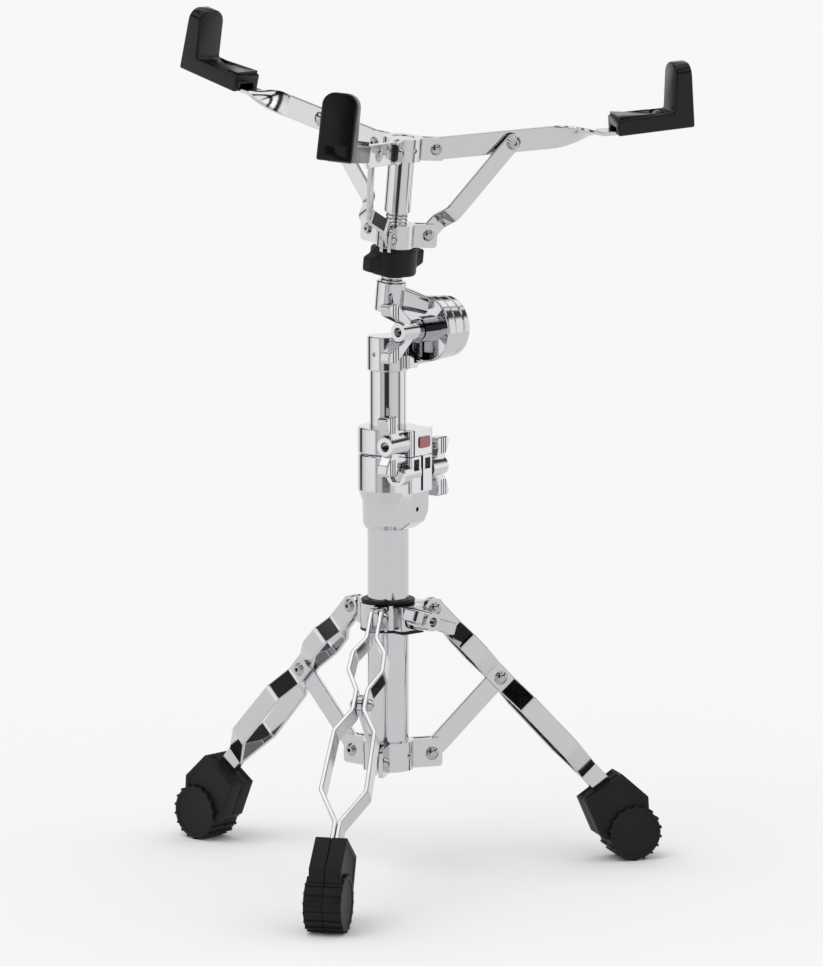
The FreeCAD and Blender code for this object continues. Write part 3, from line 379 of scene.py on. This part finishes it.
@dataclass(frozen=True)
class MouldedRubber(Finish):
    """Carbon-black rubber from an etched mould: dull, finely grained, with a dusty bloom."""

    colour: str = "121213"
    bloom: str = "1C1C1E"
    roughness: float = 0.55
    shine: float = 0.2
    unevenness: float = 0.08
    dust_mm: float = 14.0
    grain_mm: float = 0.7
    grain: float = 0.25
    grain_depth_mm: float = 0.12

    def build(self) -> bpy.types.Material:
        """Make the material.

        Returns:
            The rubber material.
        """
        material, tree, shader, place = self.start()
        cloud = add_node(tree, "ShaderNodeTexNoise", {"Scale": 1 / (self.dust_mm * MM), "Detail": 5.0,
                                                      "Roughness": 0.65}, {"Vector": place})
        blend = add_node(tree, "ShaderNodeMix", {"data_type": "RGBA"})
        blend.inputs[6].default_value = linear(self.colour)
        blend.inputs[7].default_value = linear(self.bloom)
        tree.links.new(cloud.outputs["Fac"], blend.inputs["Factor"])
        tree.links.new(blend.outputs[2], shader.inputs["Base Color"])
        rough = add_node(tree, "ShaderNodeMapRange", {"To Min": self.roughness - self.unevenness,
                                                      "To Max": self.roughness + self.unevenness},
                         {"Value": cloud.outputs["Fac"]})
        tree.links.new(rough.outputs["Result"], shader.inputs["Roughness"])
        pores = add_node(tree, "ShaderNodeTexNoise", {"Scale": 1 / (self.grain_mm * MM), "Detail": 2.0},
                         {"Vector": place})
        relief = {"Strength": self.grain, "Distance": self.grain_depth_mm * MM}
        bump = add_node(tree, "ShaderNodeBump", relief, {"Height": pores.outputs["Fac"]})
        tree.links.new(bump.outputs["Normal"], shader.inputs["Normal"])
        shader.inputs["Specular IOR Level"].default_value = self.shine
        return material


@dataclass(frozen=True)
class BadgeEnamel(Finish):
    """A stamped plate under clear red enamel: deep colour, wet gloss, a slight unevenness in the pour."""

    colour: str = "8E1620"
    deep: str = "6E0F18"
    pour_mm: float = 4.0
    roughness: float = 0.22
    coat: float = 0.8
    coat_roughness: float = 0.04

    def build(self) -> bpy.types.Material:
        """Make the material.

        Returns:
            The enamel material.
        """
        material, tree, shader, place = self.start()
        pour = add_node(tree, "ShaderNodeTexNoise", {"Scale": 1 / (self.pour_mm * MM), "Detail": 2.0},
                        {"Vector": place})
        blend = add_node(tree, "ShaderNodeMix", {"data_type": "RGBA"})
        blend.inputs[6].default_value = linear(self.colour)
        blend.inputs[7].default_value = linear(self.deep)
        tree.links.new(pour.outputs["Fac"], blend.inputs["Factor"])
        tree.links.new(blend.outputs[2], shader.inputs["Base Color"])
        shader.inputs["Roughness"].default_value = self.roughness
        shader.inputs["Coat Weight"].default_value = self.coat
        shader.inputs["Coat Roughness"].default_value = self.coat_roughness
        return material


# ---- tripod's feet ---------------------------------------------------------------------------------------
AZIMUTHS = {"front": 270.0, "right": 30.0, "left": 150.0}


@dataclass
class Feet:
    """Rubber feet, each moulded in two halves: a treaded disc and a block that grips the strips."""

    reach: float = 178.0
    disc_radius: float = 19.86
    disc_middle: float = 19.85
    disc_half: float = 13.0
    ridges: int = 18
    tread: float = 1.25
    rim: float = 2.3
    dish: float = 0.7
    dish_slope: float = 0.5
    disc_edge: float = 0.45
    block_half: float = 11.0
    outline: tuple[tuple[float, float], ...] = (
        (-36.2, 44.2), (-9.4, 62.5), (10.2, 45.2), (11.8, 22.0), (-6.0, 8.2), (-25.2, 19.0))
    blank: tuple[float, float, float] = (-45.0, 20.0, 70.0)
    panel: float = 3.4
    sunk: float = 0.8
    panel_slope: float = 0.6
    mouth_rim: float = 2.2
    mouth_slope: float = 0.5
    mouth_depth: float = 1.2
    block_edge: float = 1.1
    parting: float = 0.22

    def build_disc(self) -> bpy.types.Object:
        """Model one half of the disc: every fourth facet is raised as a ridge, and its side is dished.

        Returns:
            The half disc.
        """
        sides = self.ridges * 4
        ground = self.disc_radius - self.tread
        disc = drum("foot_disc", sides, ground, (0, self.parting, 0), (0, self.disc_half, 0))
        bpy.ops.mesh.select_all(action="SELECT")
        bpy.ops.transform.rotate(value=math.radians(180 / sides), orient_axis="Y", center_override=(0, 0, 0))
        step = 360 / self.ridges

        def on_ridge(middle: Vector, normal: Vector) -> bool:
            """Whether a side facet is a ridge's."""
            turn = (math.degrees(math.atan2(middle.z, middle.x)) + 90 + step / 8) % step
            return abs(normal.y) < 0.5 and turn < step / 4

        pick(disc, "FACE", on_ridge)
        raised = self.disc_radius / ground
        bpy.ops.mesh.extrude_region_move()
        bpy.ops.transform.resize(value=(raised, 1.0, raised), center_override=(0, 0, 0))
        pick(disc, "FACE", lambda middle, normal: normal.y > FACING and middle.xz.length < 1)
        bpy.ops.mesh.inset(thickness=self.rim * MM, depth=0)
        bpy.ops.mesh.inset(thickness=self.dish_slope * MM, depth=-self.dish * MM)
        soften(disc, self.disc_edge, 2)
        return disc

    def build_block(self) -> bpy.types.Object:
        """Model one half of the block: a cut outline with a sunk side panel and a mouth for the strips.

        Returns:
            The half block.
        """
        back, front, top = self.blank
        part = block("foot_block", (back, self.parting, 0), (front, self.block_half, top))
        slice_off(self.outline)
        pick(part, "FACE", lambda middle, normal: normal.y > FACING)
        bpy.ops.mesh.inset(thickness=self.panel * MM, depth=0)
        bpy.ops.mesh.inset(thickness=self.panel_slope * MM, depth=-self.sunk * MM)
        (x0, z0), (x1, z1) = self.outline[:2]
        up = Vector((z0 - z1, 0, x1 - x0)).normalized()
        pick(part, "FACE", lambda middle, normal: normal.dot(up) > 0.98)
        bpy.ops.mesh.inset(thickness=self.mouth_rim * MM, depth=0)
        bpy.ops.mesh.inset(thickness=self.mouth_slope * MM, depth=-self.mouth_depth * MM)
        soften(part, self.block_edge, 3)
        return part

    def build(self, material: bpy.types.Material) -> None:
        """Model one foot and set it at the end of every leg.

        Args:
            material: the feet's rubber.
        """
        disc = self.build_disc()
        doubled(disc)
        fresh()
        disc.select_set(True)
        disc.location = (0, 0, self.disc_middle * MM)
        bpy.ops.object.transform_apply(location=True, rotation=False, scale=False)
        body = self.build_block()
        doubled(body)
        foot = joined("foot_pattern", disc, body)
        for name, azimuth in AZIMUTHS.items():
            place = about_z(azimuth) @ Matrix.Translation((self.reach * MM, 0, 0))
            placed(foot, "treaded_foot_" + name, place, "leg_" + name, "rubber_foot_" + name,
                   material)
        bpy.data.objects.remove(foot)


# ---- basket ----------------------------------------------------------------------------------------------
@dataclass
class Lean:
    """How the basket leans as the stand is stored: the tilter's axis and the angle about it."""

    axis_azimuth: float = 60.0
    axis_height: float = 383.0
    axis_offset: float = 20.0
    angle: float = 6.2

    def matrix(self) -> Matrix:
        """Work out the lean.

        Returns:
            The lean, in metres.
        """
        turn = about_z(self.axis_azimuth)
        middle = Matrix.Translation(turn @ Vector((0, -self.axis_offset * MM, self.axis_height * MM)))
        axis = turn @ Vector((1, 0, 0))
        return middle @ Matrix.Rotation(math.radians(self.angle), 4, axis) @ middle.inverted()


@dataclass
class Tips:
    """Dipped rubber tips: a ribbed floor round the arm's end and an arched wall for the drum's hoop."""

    corner_radius: float = 206.5
    corner_height: float = 528.6
    lean: float = 8.5
    length: float = 55.5
    half: float = 11.9
    floor: float = 11.6
    wall: float = 14.7
    wall_top: float = 11.5
    height: float = 44.6
    arch: float = 8.6
    channel: float = 3.4
    channel_depth: float = 1.5
    rib: float = 2.5
    rib_height: float = 2.2
    notch: tuple[float, float, float] = (6.5, 10.5, 5.6)
    dimple_radius: float = 2.3
    dimple_height: float = 7.4
    dimple_depth: float = 0.7
    corner: float = 1.5
    edge: float = 0.3

    def build_pattern(self) -> bpy.types.Object:
        """Model one tip, drawn from its outer bottom corner.

        Returns:
            The tip.
        """
        tip = block("tip_pattern", (-self.length, -self.half, 0), (0, self.half, self.floor))
        bpy.ops.mesh.bisect(plane_co=(-self.wall * MM, 0, 0), plane_no=(1, 0, 0))
        pick(tip, "FACE", lambda middle, normal: normal.z > FACING and middle.x > -self.wall)
        bpy.ops.mesh.extrude_region_move(
            TRANSFORM_OT_translate={"value": (0, 0, (self.height - self.floor) * MM)})
        pick(tip, "VERT", lambda middle, way: middle.z > self.height - 1 and middle.x < -self.wall + 1)
        bpy.ops.transform.translate(value=((self.wall - self.wall_top) * MM, 0, 0))
        pick(tip, "EDGE", lambda middle, way: abs(way.x) > FACING and middle.z > self.height - 1)
        bpy.ops.mesh.bevel(offset=self.arch * MM, segments=7, profile=0.5)
        soften(tip, self.corner, 3)
        bpy.ops.object.mode_set(mode="EDIT")
        pick(tip, "FACE", lambda middle, normal: normal.z > FACING and middle.x < -self.wall and middle.z > 1)
        bpy.ops.mesh.inset(thickness=self.channel * MM, depth=0)
        bpy.ops.mesh.extrude_region_move(TRANSFORM_OT_translate={"value": (0, 0, -self.channel_depth * MM)})
        bpy.ops.mesh.inset(thickness=self.rib * MM, depth=0)
        bpy.ops.mesh.extrude_region_move(
            TRANSFORM_OT_translate={"value": (0, 0, (self.channel_depth + self.rib_height) * MM)})
        bpy.ops.object.mode_set(mode="OBJECT")
        half, deep, high = self.notch
        notch = block("notch", (-self.length - 3, -half, -2), (-self.length + deep, half, high))
        bpy.ops.object.mode_set(mode="OBJECT")
        carve(tip, notch)
        dimple = drum("dimple", 24, self.dimple_radius, (-self.dimple_depth, 0, self.dimple_height),
                      (2, 0, self.dimple_height))
        carve(tip, dimple)
        soften(tip, self.edge, 2)
        return tip

    def build(self, lean: Matrix, material: bpy.types.Material) -> None:
        """Model one tip and put it on the end of every arm.

        Args:
            lean: the basket's lean.
            material: the tips' rubber.
        """
        tip = self.build_pattern()
        tilt = Matrix.Rotation(math.radians(-self.lean), 4, "Y")
        corner = Matrix.Translation((self.corner_radius * MM, 0, self.corner_height * MM))
        for name, azimuth in AZIMUTHS.items():
            placed(tip, "arched_tip_" + name, lean @ about_z(azimuth) @ corner @ tilt, "arm_" + name,
                   "rubber_tip_" + name, material)
        bpy.data.objects.remove(tip)


@dataclass
class Knob:
    """The moulded knob under the basket: a round body with two opposite ears, bored for the rod."""

    radius: float = 16.2
    low: float = 419.6
    high: float = 437.9
    bore: float = 8.0
    ear_azimuth: float = 48.0
    ear_reach: float = 23.8
    ear_half_angle: float = 21.0
    ear_band: tuple[float, float] = (423.2, 434.6)
    ear_drop: float = 2.6
    ear_taper: tuple[float, float, float] = (0.6, 0.86, 0.86)
    ear_back: float = 0.9
    edge: float = 1.5

    def build(self, lean: Matrix, material: bpy.types.Material) -> None:
        """Model the knob.

        Args:
            lean: the basket's lean.
            material: the knob's nylon.
        """
        knob = drum("knob_pattern", 48, self.radius, (0, 0, self.low), (0, 0, self.high))
        for height in self.ear_band:
            bpy.ops.mesh.select_all(action="SELECT")
            bpy.ops.mesh.bisect(plane_co=(0, 0, height * MM), plane_no=(0, 0, 1))
        for side in (1, -1):
            def on_ear(middle: Vector, normal: Vector, side: int = side) -> bool:
                """Whether a facet is under this side's ear."""
                turn = math.degrees(math.atan2(middle.y * side, middle.x * side))
                band = self.ear_band[0] < middle.z < self.ear_band[1]
                return abs(turn) < self.ear_half_angle and abs(normal.z) < 0.5 and band

            pick(knob, "FACE", on_ear)
            grow = side * (self.ear_reach - self.radius)
            bpy.ops.mesh.extrude_region_move(TRANSFORM_OT_translate={"value": (grow * MM, 0, 0)})
            bpy.ops.transform.resize(value=self.ear_taper)
            bpy.ops.transform.translate(value=(-side * self.ear_back * MM, 0, side * self.ear_drop * MM))
        bpy.ops.object.mode_set(mode="OBJECT")
        bore = drum("bore", 40, self.bore, (0, 0, self.low - 2), (0, 0, self.high + 2))
        bpy.ops.object.mode_set(mode="OBJECT")
        carve(knob, bore)
        soften(knob, self.edge, 3)
        placed(knob, "eared_knob", lean @ about_z(self.ear_azimuth), "knob", "basket_knob",
               material)
        bpy.data.objects.remove(knob)


# ---- the stand -------------------------------------------------------------------------------------------
@dataclass
class Stand:
    """The whole stand: which finish each machined node wears."""

    tube: ChromePlate = ChromePlate("chrome_plated_tube", haze=(0.03, 0.07))
    strip: ChromePlate = ChromePlate("chrome_plated_strip", haze=(0.05, 0.12), ripple=0.02, ripple_mm=14.0)
    casting: ChromePlate = ChromePlate("chrome_plated_zinc_casting", haze=(0.04, 0.10), ripple=0.03,
                                       ripple_mm=7.0)
    bolt: ChromePlate = ChromePlate("nickel_plated_bolt", colour="B4B1AE", haze=(0.10, 0.2))
    foot: MouldedRubber = MouldedRubber("moulded_rubber_foot")
    tip: MouldedRubber = MouldedRubber("dipped_rubber_tip", colour="060607", bloom="0A0A0B", roughness=0.24,
                                       grain=0.05, grain_mm=2.5, shine=0.3)
    nylon: MouldedRubber = MouldedRubber("glass_filled_nylon", colour="0F0F10", bloom="161617",
                                         roughness=0.42, grain=0.15, grain_mm=0.9)
    enamel: BadgeEnamel = BadgeEnamel("red_enamel")
    tubes: tuple[str, ...] = ("base_tube", "upper_tube", "basket_post", "basket_rod")

    def dress(self) -> None:
        """Give every node that came from the machined model its finish."""
        made = {finish.name: finish.build() for finish in (self.tube, self.strip, self.casting, self.bolt,
                                                           self.foot, self.tip, self.nylon, self.enamel)}
        Feet().build(made[self.foot.name])
        Tips().build(Lean().matrix(), made[self.tip.name])
        Knob().build(Lean().matrix(), made[self.nylon.name])
        by_slot = {Slot.STEEL: self.strip, Slot.CASTING: self.casting, Slot.BOLTS: self.bolt,
                   Slot.RUBBER: self.foot, Slot.GLOSS_RUBBER: self.tip, Slot.PLASTIC: self.nylon,
                   Slot.BADGE: self.enamel}
        slots = {entry["node"]: entry["material_slot"] for entry in frame["record"]["subparts"]}
        for name, node in frame["nodes"].items():
            finish = self.tube if name in self.tubes else by_slot[Slot(slots[name])]
            node.data.materials.clear()
            node.data.materials.append(made[finish.name])
            LOG.info("%s wears %s", name, finish.name)


# ---- studio ----------------------------------------------------------------------------------------------
@dataclass
class Studio:
    """A pale floor, a tent with dark gaps that only reflections see, a soft sun, and the camera.

    The tent is told in bearings from the camera's own, so that the chrome mirrors its gaps as upright bands.
    """

    near_radius: float = 1.7
    far_radius: float = 22.0
    floor_colour: str = "E4E4E4"
    sky_strength: float = 1.0
    sun_strength: float = 0.75
    sun_angle: float = 38.0
    sun_way: tuple[float, float, float] = (-0.55, -0.75, 1.6)
    camera_place: tuple[float, float, float] = (0.8648, -3.7547, 0.879)
    camera_heading: float = 12.73
    camera_pitch: float = 8.9
    lens: float = 210.9
    sensor: float = 36.0
    bearings: tuple[tuple[float, float], ...] = (
        (-180, 1.0), (-140, 1.0), (-128, 0.05), (-118, 0.04), (-112, 0.9), (-84, 1.2), (-52, 1.25),
        (-46, 0.5), (-36, 0.8), (-24, 0.75), (-20, 0.05), (6, 0.05), (10, 0.85), (40, 0.95), (66, 0.9),
        (72, 0.3), (80, 0.25), (86, 1.1), (118, 1.3), (126, 0.3), (132, 1.0), (180, 1.0))
    heights: tuple[tuple[float, float], ...] = (
        (-90, 1.0), (-12, 1.0), (18, 1.0), (25, 0.06), (35, 0.05), (41, 1.35), (52, 1.4), (56, 0.08),
        (62, 0.05), (66, 1.3), (82, 1.3), (90, 1.0))

    def build_floor(self) -> None:
        """Lay the floor, which mirrors see only near the stand."""
        bpy.ops.object.select_all(action="DESELECT")
        bpy.ops.mesh.primitive_circle_add(vertices=96, radius=self.far_radius, fill_type="NGON")
        floor = bpy.context.object
        floor.name = "studio_floor"
        material = bpy.data.materials.new("pale_paper_floor")
        material.use_nodes = True
        tree = material.node_tree
        paper = next(n for n in tree.nodes if n.type == "BSDF_PRINCIPLED")
        paper.inputs["Base Color"].default_value = linear(self.floor_colour)
        paper.inputs["Roughness"].default_value = 1.0
        paper.inputs["Specular IOR Level"].default_value = 0.0
        place = add_node(tree, "ShaderNodeTexCoord").outputs["Object"]
        reach = add_node(tree, "ShaderNodeVectorMath", {"operation": "LENGTH"}, {0: place})
        far = add_node(tree, "ShaderNodeMath", {"operation": "GREATER_THAN", 1: self.near_radius},
                       {0: reach.outputs["Value"]})
        light = add_node(tree, "ShaderNodeLightPath")
        unseen = add_node(tree, "ShaderNodeMath", {"operation": "MULTIPLY"},
                          {0: far.outputs[0], 1: light.outputs["Is Glossy Ray"]})
        clear = add_node(tree, "ShaderNodeBsdfTransparent")
        blend = add_node(tree, "ShaderNodeMixShader", links={0: unseen.outputs[0], 1: paper.outputs[0],
                                                             2: clear.outputs[0]})
        output = next(n for n in tree.nodes if n.type == "OUTPUT_MATERIAL")
        tree.links.new(blend.outputs[0], output.inputs["Surface"])
        floor.data.materials.append(material)

    def ramp(self, tree: bpy.types.NodeTree, value: bpy.types.NodeSocket,
             stops: tuple[tuple[float, float], ...], half: float) -> bpy.types.NodeSocket:
        """Turn an angle into a brightness.

        Args:
            tree: the world's node tree.
            value: the angle, in radians.
            stops: degrees, and the brightness there.
            half: half the span of the angle, in degrees.

        Returns:
            The brightness.
        """
        limits = {"From Min": -math.radians(half), "From Max": math.radians(half)}
        share = add_node(tree, "ShaderNodeMapRange", limits, {"Value": value})
        node = add_node(tree, "ShaderNodeValToRGB", links={"Fac": share.outputs["Result"]})
        elements = node.color_ramp.elements
        elements[0].position, elements[1].position = 0.0, 1.0
        elements[0].color = (stops[0][1],) * 3 + (1.0,)
        elements[1].color = (stops[-1][1],) * 3 + (1.0,)
        for angle, brightness in stops[1:-1]:
            elements.new((angle + half) / (2 * half)).color = (brightness,) * 3 + (1.0,)
        return node.outputs["Color"]

    def build_sky(self) -> None:
        """Make the tent: plain white for the camera and for matt surfaces, banded for mirrors."""
        world = bpy.data.worlds.new("soft_tent")
        bpy.context.scene.world = world
        world.use_nodes = True
        tree = world.node_tree
        tree.nodes.clear()
        way = add_node(tree, "ShaderNodeTexCoord").outputs["Generated"]
        turned = add_node(tree, "ShaderNodeVectorRotate", {"rotation_type": "Z_AXIS",
                                                           "Angle": math.radians(90 - self.camera_heading)},
                          {"Vector": way})
        parts = add_node(tree, "ShaderNodeSeparateXYZ", links={0: turned.outputs[0]})
        bearing = add_node(tree, "ShaderNodeMath", {"operation": "ARCTAN2"},
                           {0: parts.outputs["Y"], 1: parts.outputs["X"]})
        height = add_node(tree, "ShaderNodeMath", {"operation": "ARCSINE"}, {0: parts.outputs["Z"]})
        round_it = self.ramp(tree, bearing.outputs[0], self.bearings, 180)
        up_it = self.ramp(tree, height.outputs[0], self.heights, 90)
        bands = add_node(tree, "ShaderNodeMix", {"data_type": "RGBA", "blend_type": "MULTIPLY"})
        bands.inputs["Factor"].default_value = 1.0
        tree.links.new(round_it, bands.inputs[6])
        tree.links.new(up_it, bands.inputs[7])
        light = add_node(tree, "ShaderNodeLightPath")
        seen = add_node(tree, "ShaderNodeMix", {"data_type": "RGBA"},
                        {"Factor": light.outputs["Is Glossy Ray"]})
        seen.inputs[6].default_value = (1.0, 1.0, 1.0, 1.0)
        tree.links.new(bands.outputs[2], seen.inputs[7])
        shine = add_node(tree, "ShaderNodeBackground", {"Strength": self.sky_strength},
                         {"Color": seen.outputs[2]})
        add_node(tree, "ShaderNodeOutputWorld", links={"Surface": shine.outputs[0]})

    def build_sun(self) -> None:
        """Hang one wide soft sun, which the chrome doesn't mirror."""
        data = bpy.data.lights.new("soft_sun", "SUN")
        data.energy = self.sun_strength
        data.angle = math.radians(self.sun_angle)
        lamp = bpy.data.objects.new("soft_sun", data)
        lamp.visible_glossy = False
        lamp.rotation_euler = Vector(self.sun_way).to_track_quat("Z", "Y").to_euler()
        bpy.context.scene.collection.objects.link(lamp)

    def build_camera(self) -> None:
        """Set up the camera and the plain view transform."""
        data = bpy.data.cameras.new("camera")
        data.lens = self.lens
        data.sensor_width = self.sensor
        data.clip_end = 60.0
        camera = bpy.data.objects.new("camera", data)
        camera.location = self.camera_place
        camera.rotation_euler = (math.radians(90 - self.camera_pitch), 0.0, math.radians(self.camera_heading))
        bpy.context.scene.collection.objects.link(camera)
        bpy.context.scene.camera = camera
        bpy.context.scene.view_settings.view_transform = "Standard"

    def build(self) -> None:
        """Build the studio."""
        self.build_floor()
        self.build_sky()
        self.build_sun()
        self.build_camera()
        LOG.info("studio is ready")


def main() -> None:
    """Build the looks in order."""
    logging.basicConfig(level=logging.INFO, format="%(name)s: %(message)s")
    Stand().dress()
    Studio().build()


if __name__ == "__main__":
    main()
